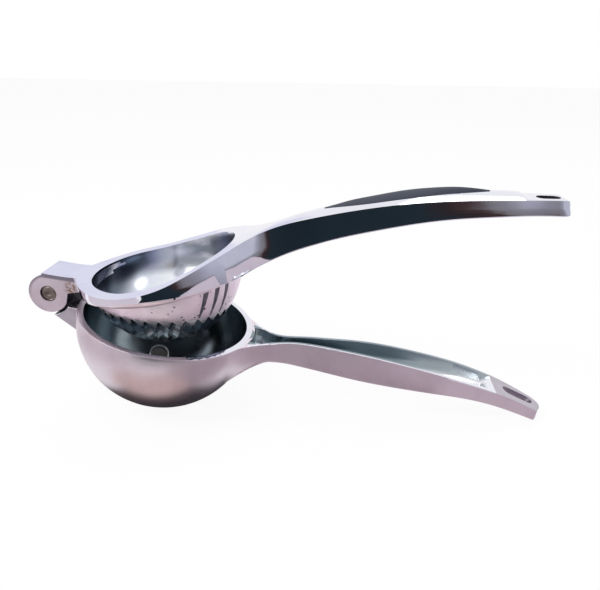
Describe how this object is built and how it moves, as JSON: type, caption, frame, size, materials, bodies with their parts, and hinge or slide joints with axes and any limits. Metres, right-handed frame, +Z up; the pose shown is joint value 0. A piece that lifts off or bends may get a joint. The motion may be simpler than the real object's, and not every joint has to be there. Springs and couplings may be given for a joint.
{
  "type": "hinged lemon squeezer",
  "caption": "Hinged hand press for citrus: a bowl arm with drain holes, a fluted press cup arm with a soft grip inlay, and a riveted hinge pin.",
  "frame": {"origin": "middle of the box round the squeezer as it stands open by 21 degrees, at the level of the table", "axes": "+X from the hinge to the handles, +Y across the squeezer, +Z up"},
  "size_m": [0.2057, 0.07, 0.0928],
  "materials": {
    "satin_metal": "satin",
    "polished_metal": "polished",
    "pin_steel": "satin",
    "black_rubber": "satin"
  },
  "bodies": {
    "bowl_arm": {"lower_arm": "satin_metal"},
    "press_arm": {"upper_arm": "polished_metal", "hinge_pin": "pin_steel", "grip_inlay": "black_rubber"}
  },
  "joints": [
    {"name": "hinge", "type": "hinge", "parent": "bowl_arm", "child": "press_arm", "pos_m": [-0.09496, 0, 0.04802], "axis": [0, -1, 0], "range_deg": [-21, 159]}
  ]
}
